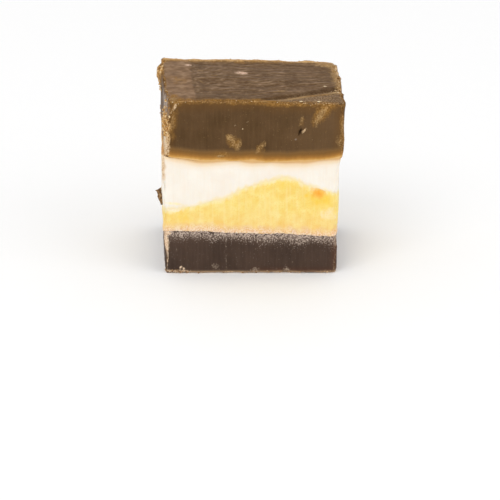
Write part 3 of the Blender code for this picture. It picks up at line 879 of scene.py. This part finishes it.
def milkMaterial():
    # Milk chocolate fudge, cooked, poured and knife-cut: waxy brown, soft sheen, gold where thin or torn
    material, tree, shader, values = newMaterial("milkChocolateFudge", 0.45, 0.02, 0.05)
    footTint = ("footGlow", (0.0, "#6d5437"), (0.31, "#7b5b36"), (0.47, "#7d5a31"), (0.62, "#8e6432"),
                (0.78, "#a7763a"), (0.93, "#c9964f"), (1.0, "#dcb277"))
    side = addCoats(tree, values, ("cloud", (0.3, "#513c26"), (0.7, "#614931")), (
        # painted light: the sides grow lighter towards the right, where more light falls
        ("X", 2 * mm, 18 * mm, 0.45, "#6c5339"),
        ("drag", 0.4, 0.75, 0.16, "#7b6040"),
        ("headGlow", 0, 1, 0.7, "#6d4c27"),
        ("footGlow", 0.05, 0.35, 1, footTint),
    ))
    # the wrinkles painted darker in their troughs and lighter on their crests: painted shade and highlight
    # along the relief
    top = ("wrinkle", (0.1, "#5c442c"), (0.45, "#674e34"), (0.7, "#775d43"), (0.95, "#967b61"))
    top = addCoats(tree, values, top, (
        ("cloud", 0.42, 0.7, 0.4, "#7b6049"),
        ("curd", 0.5, 0.68, 0.6, "#92775a"),
        ("curd", 0.46, 0.34, 0.5, "#533d27"),
        # the smooth strip on the left, mottled, and painted lighter as a painted reflection where the top
        # curves down
        ("strip", 0, 1, 0.85, ("mottle", (0.35, "#765a41"), (0.5, "#886a4e"), (0.65, "#9c7e61"))),
        ("apron", 0, 1, 0.45, ("crystal", (0.38, "#5a422c"), (0.5, "#7d6147"), (0.62, "#c4a67e"))),
        # painted highlight along the lip in front of the crease
        ("lip", 0, 1.25, 1.06, "#b39266"),
        # painted shade in the crease
        ("crease", 0, 1, 0.52, "#38271a"),
    ))
    colour = addCoats(tree, values, side, (
        ("upward", 0, 1, 1, top),
        ("crystal", 0.66, 0.76, 0.3, "#83653c"),
        # tan and gold at the edges: crumbly sugar, with painted glow of light through the thin edges
        ("rim", 0, 1, 0.8, ("crystal", (0.35, "#7a572a"), (0.55, "#9a7340"), (0.7, "#cba473"))),
    ))
    finishSurface(tree, values, shader, colour, ("rim", 0.42, 0.62), ("crystal", 0.03), "milk")
    return material


def whiteMaterial():
    # White vanilla fudge, knife-cut: smooth, faintly waxy, slightly see-through, warmer beside other layers
    material, tree, shader, values = newMaterial("whiteFudge", 0.5, 0.3, 0.2, (1.0, 0.85, 0.65))
    milkTint = ("toMilk", (0.0, "#f4e9da"), (0.5, "#f3e4cf"), (0.8, "#efd6b2"), (1.0, "#e0b67f"))
    colour = addCoats(tree, values, ("cloud", (0.3, "#f2e8da"), (0.7, "#f6f0e5")), (
        ("drag", 0.45, 0.8, 0.3, "#f0e0cc"),
        ("toMilk", 0, 0.6, 1, milkTint),
        ("toYellow", 0, 1, 0.7, "#f9e09a"),
        ("rim", 0, 1, 0.7, "#e6c8a0"),
    ))
    finishSurface(tree, values, shader, colour, ("drag", 0.44, 0.6), ("crystal", 0.015), "white")
    return material


def yellowMaterial():
    # Yellow fudge, knife-cut: mottled, lemony high up and more orange low down, grainy at its foot
    material, tree, shader, values = newMaterial("yellowFudge", 0.5, 0.3, 0.2, (1.0, 0.7, 0.25))
    lemon = ("mottle", (0.3, "#f3d06b"), (0.5, "#f5d97b"), (0.7, "#f7e18f"))
    colour = addCoats(tree, values, ("mottle", (0.3, "#f3c36d"), (0.7, "#f5d88a")), (
        ("Z", 10 * mm, 15 * mm, 1, lemon),
        ("crystal", 0.54, 0.68, 0.45, "#efc258"),
        ("drag", 0.48, 0.72, 0.3, "#f9e6a8"),
        ("cloud", 0.45, 0.75, 0.4, "#f7e4a2"),
        ("toWhite", 0, 1, 0.65, "#f9ecc6"),
        ("toDark", 0, 1, 0.85, ("crystal", (0.36, "#deab82"), (0.5, "#e9c4a8"), (0.62, "#f4ddcc"))),
    ))
    finishSurface(tree, values, shader, colour, ("mottle", 0.44, 0.62), ("mottle", 0.05), "yellow")
    return material


def darkMaterial():
    # Dark chocolate fudge, knife-cut: nearly black brown, dusted with pale sugar that the knife dragged down
    material, tree, shader, values = newMaterial("darkChocolateFudge", 0.5, 0.2)
    haze, crystal, hole = (getValue(tree, values, key) for key in ("haze", "crystal", "hole"))
    levels = []
    for clear, full in ((0.68, 0.36), (0.3, 0.8), (0.85, 0.52)):
        levels.append(addNode(tree, "MapRange", {"Value": haze, "To Min": clear, "To Max": full}))
    dustLevel, dustMost, holeLevel = levels
    # pale dust: a veil, and grains of the noise where they stand above a level that rises as the haze thins
    values["veil"] = addNode(tree, "Math", {0: haze, 1: 3.0}, operation="POWER")
    values["dust"] = addNode(tree, "Math", {0: crystal, 1: dustLevel}, operation="SUBTRACT")
    values["gap"] = addNode(tree, "Math", {0: hole, 1: holeLevel}, operation="SUBTRACT")
    colour = addCoats(tree, values, ("cloud", (0.3, "#3d2d23"), (0.7, "#48362b")), (
        ("drag", 0.42, 0.8, 0.3, "#5e4b3f"),
        ("rightGlow", 0, 1, 0.5, "#5f3620"),
        ("veil", 0, 1, 0.9, "#9c887c"),
        ("dust", 0, 0.16, dustMost, "#d3bfae"),
        ("gap", 0, 0.08, 0.9, "#271a11"),
        ("rim", 0, 1, 0.45, ("crystal", (0.35, "#573f2d"), (0.55, "#83664b"), (0.7, "#cfb592"))),
        ("baseRim", 0, 1, 1, "#cfae88"),
    ))
    finishSurface(tree, values, shader, colour, ("haze", 0.46, 0.75), ("crystal", 0.03), "dark")
    return material


def crumbMaterial(name, stops, roughness):
    # Crumbs of fudge: dull grains whose colour changes from one to the next
    material, tree, shader, values = newMaterial(name, roughness, 0.25)
    colour = addCoats(tree, values, ("crumb", *stops), ())
    rough = ("grit", roughness - 0.08, roughness + 0.12)
    finishSurface(tree, values, shader, colour, rough, ("grit", 0.02))
    return material


makeMaterial = {"dark": darkMaterial, "yellow": yellowMaterial, "white": whiteMaterial, "milk": milkMaterial}
skins = {}
for name in layers:
    skin, quads, triangles, seamRow = layerSkin(name)
    piece = addPiece(name + "Fudge", skin[:, :3], quads, triangles, seamRow, skinReadings(name, skin))
    piece.data.materials.append(makeMaterial[name]())
    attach(piece, "root")
    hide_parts(nodeNames[name])
    skins[name] = skin
    count = len(quads) * 2 + sum(len(part) for part in triangles)
    print("layer made:", name, len(skin), "points,", count, "triangles")

# A crumb's form: the 12 points and 20 faces of an icosahedron
golden = (1 + math.sqrt(5)) / 2
crumbPoints = np.array([
    (-1, golden, 0), (1, golden, 0), (-1, -golden, 0), (1, -golden, 0),
    (0, -1, golden), (0, 1, golden), (0, -1, -golden), (0, 1, -golden),
    (golden, 0, -1), (golden, 0, 1), (-golden, 0, -1), (-golden, 0, 1),
]) / math.hypot(1, golden)
crumbFaces = np.array([
    (0, 11, 5), (0, 5, 1), (0, 1, 7), (0, 7, 10), (0, 10, 11), (1, 5, 9), (5, 11, 4), (11, 10, 2), (10, 7, 6),
    (7, 1, 8), (3, 9, 4), (3, 4, 2), (3, 2, 6), (3, 6, 8), (3, 8, 9), (4, 9, 5), (2, 4, 11), (6, 2, 10),
    (8, 6, 7), (9, 8, 1),
])

# Loose crumbs, by kind: the seed of their draws, how many, their radii in mm, and their material's name,
# roughness and tints
crumbs = {
    "milkCrumbs": {
        "seed": 61, "count": 850, "radii": (0.06, 0.19), "material": "milkFudgeCrumbs", "roughness": 0.55,
        "tints": ((0.35, "#76552c"), (0.5, "#936c3a"), (0.66, "#bb935a")),
    },
    "goldCrumbs": {
        "seed": 64, "count": 340, "radii": (0.12, 0.36), "material": "goldenCrumbs", "roughness": 0.55,
        "tints": ((0.36, "#a8783a"), (0.5, "#cfa05c"), (0.64, "#f2d6a8")),
    },
    "creamCrumbs": {
        "seed": 62, "count": 55, "radii": (0.06, 0.15), "material": "sugarCrumbs", "roughness": 0.45,
        "tints": ((0.35, "#c4a274"), (0.65, "#f0dfbe")),
    },
    "darkCrumbs": {
        "seed": 63, "count": 240, "radii": (0.08, 0.24), "material": "dustyDarkCrumbs", "roughness": 0.6,
        "tints": ((0.35, "#7d5f45"), (0.5, "#b08c66"), (0.65, "#dfc4a0")),
    },
}
crumbSunk = 0.35  # share of a crumb's width that lies in the skin


def turnMatrices(draw, count):
    # even random turns, from unit quaternions
    w, x, y, z = draw.normal(size=(4, count))
    size = np.sqrt(w * w + x * x + y * y + z * z)
    w, x, y, z = w / size, x / size, y / size, z / size
    rows = [
        [1 - 2 * (y * y + z * z), 2 * (x * y - z * w), 2 * (x * z + y * w)],
        [2 * (x * y + z * w), 1 - 2 * (x * x + z * z), 2 * (y * z - x * w)],
        [2 * (x * z - y * w), 2 * (y * z + x * w), 1 - 2 * (x * x + y * y)],
    ]
    return np.moveaxis(np.array(rows), 2, 0)


def scatterCrumbs(name, skin, weight):
    # draws points of the skin by weight, and puts a jittered, stretched and turned crumb on each
    kind = crumbs[name]
    count = kind["count"]
    draw = np.random.default_rng(kind["seed"])
    chosen = draw.choice(len(skin), count, replace=False, p=weight / weight.sum())
    least, most = kind["radii"]
    radius = (least + (most - least) * draw.uniform(0, 1, count) ** 2.5)[:, None] * mm
    form = crumbPoints * (1 + draw.uniform(-0.3, 0.3, (count, 12, 1))) * draw.uniform(0.6, 1.3, (count, 1, 3))
    form = np.einsum("nij,nkj->nki", turnMatrices(draw, count), form) * radius[:, None]
    centre = skin[chosen, :3] + skin[chosen, 6:9] * radius * (1 - 2 * crumbSunk)
    centre = np.clip(centre, np.array(cadBox[0]) + radius, np.array(cadBox[1]) - radius)
    faces = (crumbFaces[None] + 12 * np.arange(count)[:, None, None]).reshape(-1, 3)
    piece = addPiece(name, insideBox((centre[:, None, :] + form).reshape(-1, 3)), faces)
    piece.data.materials.append(crumbMaterial(kind["material"], kind["tints"], kind["roughness"]))
    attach(piece, "root")
    print("crumbs made:", name, count)
    return piece


# Where crumbs lie, as weights of the skin's points by their places on the square block, in mm. Those of the
# rim lie thicker along the top's two sides and to the right, and sparse at the milk layer's foot
halfWide, halfDeep, tall = halfBlock[0] / mm, halfBlock[1] / mm, block["height"] / mm
milkSkin = skins["milk"]
x, y, z = milkSkin[:, 3:6].T / mm
nearEdge = bell(milkSkin[:, 11] / mm, 0.3)
patchy = eased(-0.1, 0.7, grains(51, milkSkin[:, 3:6], 2.2))
onTopSides = bell(z - tall, 0.6) * eased(halfWide - 1.5, halfWide - 0.4, np.abs(x))
weight = nearEdge * (0.06 + patchy) * (1 + 3 * onTopSides + 1.2 * np.clip(x / halfWide, 0, 1) ** 4)
weight += 0.12 * bell(x - halfWide, 1.6) * (y < 0.35 - halfDeep) * patchy
weight *= 1 - 0.9 * eased(-2.0, -0.4, -milkSkin[:, 9] / mm)
weight *= 1 - 0.75 * bell(x + halfWide, 1.2) * eased(-15.5, -16.0, y) * eased(38.5, 37.0, z)
scatterCrumbs("milkCrumbs", milkSkin, weight)

# Golden clumps hang on the left side: behind the front edge, on the burr at the back and down both edges
nearBurr = bell(np.hypot(y - 9.5, z - 38.4), 1.8)
nearFront = bell(np.hypot(y + 13.6, z - 34.8), 1.4)
onEdges = 0.15 * bell(y + halfDeep, 0.6) + 0.8 * bell(y - halfDeep, 0.9) * eased(39.6, 38.6, z)
weight = eased(1.1 - halfWide, 0.3 - halfWide, x) * (1.5 * nearBurr + 4.0 * nearFront + 0.5 * onEdges)
scatterCrumbs("goldCrumbs", milkSkin, weight)

# Cream ones lie at the crease's right end and along the lip of the front
behind, along = besideCrease(milkSkin[:, 3], milkSkin[:, 4])
creaseEnd = bell(behind / mm - 0.2, 0.4) * eased(0.72, 0.86, along) * (milkSkin[:, 8] > 0.9)
frontLip = bell(y + halfDeep - 0.15, 0.25) * bell(z - tall + 0.1, 0.4)
frontLip *= 0.3 + 0.6 * eased(8, 14, x) + 0.4 * bell(x + 18, 3)
creamPiece = scatterCrumbs("creamCrumbs", milkSkin, 0.2 * creaseEnd + 0.2 * frontLip + 0.04 * nearEdge)

# Dusty ones lie along the base, most at its front left corner
darkSkin = skins["dark"]
x, y, z = darkSkin[:, 3:6].T / mm
alongBase = bell(darkSkin[:, 9] / mm - 0.2, 0.2) * (0.1 + eased(0.0, 0.7, grains(52, darkSkin[:, 3:6], 3.0)))
corner = bell(x + 17.6, 1.8) * bell(z - 0.4, 0.4) * (y < 0.35 - halfDeep)
weight = (alongBase + 3.0 * corner) * (np.abs(darkSkin[:, 8]) < 0.8) + 0.1 * bell(darkSkin[:, 11] / mm, 0.3)
scatterCrumbs("darkCrumbs", darkSkin, weight)

# A torn flake of milk fudge that hangs on the white layer's left side: a wedge with a spiky outer border,
# given as (z, x) in mm from its lower end to its upper one
flake = {
    "border": ((15.6, -19.7), (16.5, -20.05), (17.5, -20.45), (18.3, -20.5), (18.75, -20.7), (18.95, -21.0),
               (19.15, -20.45), (19.6, -19.9)),
    "inner": -19.3,
    "middle": -14.4,
    "thickness": 0.9,
    "rows": 44,
    "columns": 14,
    "tints": ((0.35, "#553a20"), (0.5, "#7d5c38"), (0.68, "#a9875a")),
}


def wedgeSurface(side):
    # u runs from the lower end to the upper one and v from the block to the border; the wedge thins outwards
    # as 1 - v ** 2 and towards both ends as a sine; side is 1 for the front face and -1 for the back one
    u, v = np.meshgrid(np.linspace(0, 1, flake["rows"]), np.linspace(0, 1, flake["columns"]), indexing="ij")
    levels, reaches = np.array(flake["border"]).T
    z = levels[0] + (levels[-1] - levels[0]) * u
    reach = np.interp(z, levels, reaches) + 0.06 * lumps(71, u * 16, 0.0, 0.0)
    x = flake["inner"] + (reach - flake["inner"]) * v
    thick = flake["thickness"] / 2 * (1 - v ** 2) * np.sin(math.pi * u) ** 0.6
    y = flake["middle"] - side * (thick + 0.04) + 0.12 * lumps(72, u * 9, v * 3, float(side)) * (1 - v)
    return np.stack([x, y, z], -1).reshape(-1, 3) * mm


points = np.concatenate([wedgeSurface(1), wedgeSurface(-1)])
half = len(points) // 2
points[:, :2] += np.array(block["centre"])
number = np.arange(half).reshape(flake["rows"], flake["columns"])
sheet = np.stack([number[:-1, :-1], number[1:, :-1], number[1:, 1:], number[:-1, 1:]], -1).reshape(-1, 4)
border = np.concatenate([number[0, :-1], number[:-1, -1], number[-1, :0:-1], number[:0:-1, 0]])
edge = np.stack([border, np.roll(border, -1), np.roll(border, -1) + half, border + half], -1)
leaf = addPiece("tornFlake", insideBox(points), np.concatenate([sheet, sheet[:, ::-1] + half, edge]))
leaf.data.materials.append(crumbMaterial("tornMilkFudge", flake["tints"], 0.5))
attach(leaf, "root")
print("flake made")

# Long bits of sugar on the top, beside the crease's right end, in mm: place across and back, and length
glints = ((16.6, -5.9, 1.1), (18.0, -6.2, 1.3), (18.9, -7.4, 0.8), (19.3, -8.6, 0.7), (15.2, -15.7, 1.2),
          (11.2, -15.8, 1.0))
glintForm = crumbPoints * np.array((1.0, 0.32, 0.25)) * mm / 2
glintPoints = []
for number, (x, y, length) in enumerate(glints):
    level = topFace(np.array([x * mm]), np.array([y * mm]))[0]
    form = glintForm * length * (1 + 0.3 * np.random.default_rng(90 + number).uniform(-1, 1, (12, 1)))
    glintPoints.append(form + np.array([x * mm, y * mm, level]))
glintFaces = (crumbFaces[None] + 12 * np.arange(len(glints))[:, None, None]).reshape(-1, 3)
sugar = addPiece("sugarBits", insideBox(np.concatenate(glintPoints)), glintFaces)
sugar.data.materials.append(creamPiece.data.materials[0])
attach(sugar, "root")

# The room: a pale floor, a white sky and two soft lights
room = {"floorSize": 8.0, "floor": "#ffffff", "sky": 0.84}
corners = np.array([[-1, -1, 0], [1, -1, 0], [1, 1, 0], [-1, 1, 0]]) * room["floorSize"] / 2
floor = addPiece("floor", corners, np.array([[0, 1, 2, 3]]))
paint, tree, shader, values = newMaterial("paintedFloor", 0.6, 0.2)
shader.inputs["Base Color"].default_value = linearColour(room["floor"])
floor.data.materials.append(paint)
scene = bpy.context.scene
scene.world = bpy.data.worlds.new("whiteStudio")
scene.world.use_nodes = True
sky = scene.world.node_tree.nodes["Background"]
sky.inputs["Color"].default_value = (1, 1, 1, 1)
sky.inputs["Strength"].default_value = room["sky"]
scene.view_settings.view_transform = "Standard"

# The camera looks down on the front at the photograph's angle; its axis meets the front face above the base
camera = {
    "pitch": 20.0,
    "distance": 0.7766,
    "lens": 251.3,
    "aim": (block["centre"][0], -14.46 * mm, 4.91 * mm),
}
eye = bpy.data.objects.new("camera", bpy.data.cameras.new("camera"))
eye.data.sensor_width = 36.0
eye.data.lens = camera["lens"]
eye.data.clip_start, eye.data.clip_end = 0.05, 20.0
pitch = math.radians(camera["pitch"])
aimX, aimY, aimZ = camera["aim"]
back, up = camera["distance"] * math.cos(pitch), camera["distance"] * math.sin(pitch)
eye.location = (aimX, aimY - back, aimZ + up)
eye.rotation_euler = (math.pi / 2 - pitch, 0, 0)
scene.collection.objects.link(eye)
scene.camera = eye

lights = {
    "key": {"place": (-0.5, -0.9, 1.1), "size": 0.8, "power": 4.6},
    "fill": {"place": (0.9, -0.6, 0.7), "size": 0.9, "power": 2.0},
}
for name, light in lights.items():
    lamp = bpy.data.objects.new(name, bpy.data.lights.new(name, "AREA"))
    lamp.data.size = light["size"]
    lamp.data.energy = light["power"]
    lamp.location = light["place"]
    lamp.rotation_euler = (-lamp.location).to_track_quat("-Z", "Y").to_euler()
    scene.collection.objects.link(lamp)
print("room, lights and camera made")
